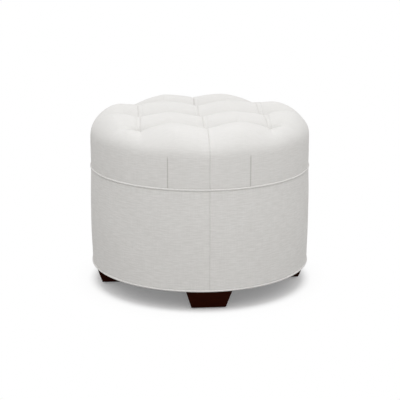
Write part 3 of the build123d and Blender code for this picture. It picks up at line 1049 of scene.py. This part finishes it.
def plywood():
    """Birch plywood: figured faces and layered edges."""
    shader = Shader("plywood")
    place = shader.place()
    figure = shader.grain(place, (8, 90, 60), detail=5.0, roughness=0.6)
    ply = shader.math("GREATER_THAN", shader.wave(shader.parts(place)["Z"], length=3 * mm), 0.0)
    pale = shader.mix(figure, (0.52, 0.36, 0.20, 1), (0.68, 0.51, 0.31, 1))
    facing = shader.parts(shader.node("ShaderNodeNewGeometry").outputs["True Normal"])
    edge = shader.math("LESS_THAN", shader.math("ABSOLUTE", facing["Z"]), 0.5)
    colour = shader.mix(shader.times(ply, edge), pale, (0.36, 0.23, 0.12, 1))
    normal = shader.bump(figure, distance=0.2 * mm, strength=0.4)
    return shader.finish(colour, shader.spread(figure, -2.0, 1.6), normal, Specular_IOR_Level=0.3)


def softwood():
    """Sawn pine with its grain along the post."""
    shader = Shader("softwood")
    place = shader.place()
    rings = shader.grain(place, (120, 120, 6), detail=4.0, roughness=0.55)
    fine = shader.grain(place, (900, 900, 40), roughness=0.6)
    tone = shader.weighted(rings, 0.8, fine, 0.3)
    colour = shader.mix(shader.spread(tone, 0.35, 0.8), (0.72, 0.52, 0.30, 1), (0.46, 0.27, 0.12, 1))
    normal = shader.bump(tone, distance=0.3 * mm, strength=0.5)
    return shader.finish(colour, shader.spread(fine, -2.5, 1.3), normal, Specular_IOR_Level=0.3)


def board(name, dark, pale, flecks):
    """Pressed fibreboard or card with small flecks."""
    shader = Shader(name)
    fleck = shader.noise(shader.place(), flecks, detail=5.0, roughness=0.7)
    colour = shader.mix(shader.spread(fleck, 0.3, 0.7), dark, pale)
    normal = shader.bump(fleck, distance=0.15 * mm, strength=0.4)
    return shader.finish(colour, shader.spread(fleck, -2.5, 1.4), normal, Specular_IOR_Level=0.3)


def twisted(name, dark, pale, pitch):
    """Twisted yarn: slanting ridges along its length, with painted shade in the grooves between them."""
    shader = Shader(name)
    place = shader.place()
    x, y, z = shader.parts(place)
    ridges = shader.wave(shader.plus(z, shader.plus(x, y)), pitch)
    fuzz = shader.noise(place, scale=900.0)
    # Painted shade: the yarn is darker in the grooves of its twist than on its ridges
    colour = shader.mix(shader.spread(ridges, -1.0, 1.0), dark, pale)
    height = shader.plus(shader.times(ridges, 0.5), fuzz)
    normal = shader.bump(height, distance=0.25 * mm, strength=0.7)
    return shader.finish(colour, shader.spread(fuzz, -3.0, 1.2), normal)


def moulded(name, dark, pale):
    """Moulded nylon with a fine satin skin."""
    shader = Shader(name)
    place = shader.place()
    clouds = shader.noise(place, scale=80.0)
    grain = shader.noise(place, scale=1400.0, detail=2.0)
    normal = shader.bump(grain, distance=0.05 * mm, strength=0.3)
    return shader.finish(shader.mix(clouds, dark, pale), shader.spread(clouds, -1.2, 2.6), normal)


def zinc():
    """Bright zinc-plated steel with faint spangles and scratches."""
    shader = Shader("zinc_steel")
    place = shader.place()
    spangle = shader.cells(place, scale=420.0)
    scratch = shader.grain(place, (60, 60, 2400))
    colour = shader.mix(spangle, (0.66, 0.67, 0.69, 1), (0.52, 0.53, 0.56, 1))
    roughness = shader.plus(0.24, shader.times(scratch, 0.2))
    normal = shader.bump(scratch, distance=0.03 * mm, strength=0.3)
    return shader.finish(colour, roughness, normal, Metallic=1.0)


def nonwoven():
    """Thin black nonwoven cloth, point-bonded in a small grid."""
    shader = Shader("nonwoven_cloth")
    place = shader.place()
    waves = [shader.wave(part, length=1.6 * mm) for part in shader.parts(place)[:2]]
    points = shader.spread(shader.times(waves[0], waves[1]), 0.3, 0.8)
    fibres = shader.noise(place, scale=260.0, detail=5.0, roughness=0.7)
    tone = shader.weighted(fibres, 0.8, points, 0.25)
    colour = shader.mix(tone, (0.012, 0.012, 0.013, 1), (0.045, 0.045, 0.047, 1))
    normal = shader.bump(shader.minus(fibres, points), distance=0.2 * mm, strength=0.6)
    return shader.finish(colour, 0.85, normal, Sheen_Weight=0.1)


def dress_frame():
    """Gives each piece of the frame that stays its own finish."""
    wood = plywood()
    steel = zinc()
    pine = softwood()
    hardboard = board("hardboard", (0.16, 0.09, 0.05, 1), (0.27, 0.17, 0.10, 1), flecks=900.0)
    # The cord's and the twine's darker colours are painted shade in the grooves of their twist
    cord = twisted("cotton_cord", (0.62, 0.58, 0.50, 1), (0.80, 0.77, 0.70, 1), pitch=2.5 * mm)
    nylon = moulded("nylon", (0.045, 0.04, 0.038, 1), (0.075, 0.068, 0.064, 1))
    finishes = {
        "deck": wood,
        "base_ring": wood,
        "foam_block": foam(),
        "tack_strip": board("card", (0.42, 0.31, 0.20, 1), (0.56, 0.44, 0.31, 1), flecks=1300.0),
        "skin_left": hardboard,
        "skin_right": hardboard,
        "middle_welt_cord": cord,
        "bottom_welt_cord": cord,
        "tuft_twines": twisted("waxed_twine", (0.50, 0.40, 0.26, 1), (0.70, 0.60, 0.43, 1), pitch=1.8 * mm),
        "tuft_washers": nylon,
        "leg_glides": nylon,
        "deck_screws": steel,
        "base_screws": steel,
        "block_screws": steel,
        "tee_nuts": steel,
        "hanger_bolts": steel,
        "dust_cover_staples": steel,
    }
    for name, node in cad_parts.items():
        if name.startswith("leg_block"):
            finishes[name] = wood
        if name.startswith("post"):
            finishes[name] = pine
        if name in finishes:
            node.data.materials.clear()
            node.data.materials.append(finishes[name])


cloth_material = linen()
leg_material = dark_wood()


# Stage, light and camera


def make_camera():
    """The photograph's camera."""
    data = bpy.data.cameras.new("camera")
    data.sensor_width = sensor_width_mm
    data.lens = sensor_width_mm * focal_length_px / image_width_px
    camera = bpy.data.objects.new("camera", data)
    bpy.context.scene.collection.objects.link(camera)
    back = Vector((-math.sin(camera_turn), -math.cos(camera_turn), 0))
    across = Vector((math.cos(camera_turn), -math.sin(camera_turn), 0))
    camera.location = back * camera_distance + across * camera_offset
    camera.location.z = middle_z + camera_above_welt
    view = -back * math.cos(camera_pitch) - Vector((0, 0, math.sin(camera_pitch)))
    camera.rotation_euler = view.to_track_quat("-Z", "Y").to_euler()
    bpy.context.scene.camera = camera


def area_light(name, place, target, width, power):
    """A round soft lamp."""
    data = bpy.data.lights.new(name, "AREA")
    data.shape = "DISK"
    data.size = width
    data.energy = power
    light = bpy.data.objects.new(name, data)
    light.location = place
    light.rotation_euler = (Vector(target) - Vector(place)).to_track_quat("-Z", "Y").to_euler()
    bpy.context.scene.collection.objects.link(light)


def make_floor():
    """A wide pale floor that shows white and keeps the object's shadow."""
    points = np.array([(x * floor_half, y * floor_half, floor_z) for x, y in square])
    floor = new_piece("floor", points, [(0, 1, 2, 3)])
    shader = Shader("floor_paint")
    seen = shader.seen()
    grain = shader.noise(shader.place(), scale=60.0)
    pale = shader.mix(grain, (0.87, 0.87, 0.87, 1), (0.89, 0.89, 0.89, 1))
    shader.finish(shader.mix(seen, floor_bounce, pale), 0.9)
    glow = shader.node("ShaderNodeEmission", None, Strength=shader.times(seen, floor_glow))
    lit = shader.node("ShaderNodeAddShader")
    shader.put(lit.inputs[0], shader.surface.outputs[0])
    shader.put(lit.inputs[1], glow.outputs[0])
    away = shader.node("ShaderNodeVectorMath", {"operation": "LENGTH"})
    shader.put(away.inputs[0], shader.place())
    distance = away.outputs["Value"]
    edge = shader.spread(distance, shadow_start, shadow_edge)
    rest = shader.spread(distance, shadow_edge, shadow_end)
    far = shader.times(shader.weighted(edge, shadow_edge_share, rest, 1 - shadow_edge_share), seen)
    white = shader.node("ShaderNodeEmission", None, Strength=1.0)
    shader.show("Material Output", far, lit, white)
    floor.data.materials.append(shader.owner)


def make_world():
    """Even studio light, with a white background where the camera looks past the floor."""
    shader = Shader("studio", bpy.data.worlds)
    even = shader.tree.nodes["Background"]
    white = shader.node("ShaderNodeBackground")
    for light, strength in ((even, world_strength), (white, 1)):
        light.inputs["Color"].default_value = (1, 1, 1, 1)
        light.inputs["Strength"].default_value = strength
    shader.show("World Output", shader.seen(), even, white)
    bpy.context.scene.world = shader.owner


dress_frame()
top_covers()
tufted_filling()
side_filling()
dust_sheet()
band_covers()
welt_piping("middle_welt", middle_z)
welt_piping("bottom_welt", bottom_z)
for side in leg_sides:
    leg_piece("leg_" + side)
make_camera()
make_world()
make_floor()
for name, lamp in lamps.items():
    area_light(name, *lamp)

bpy.context.scene.view_settings.view_transform = "Standard"
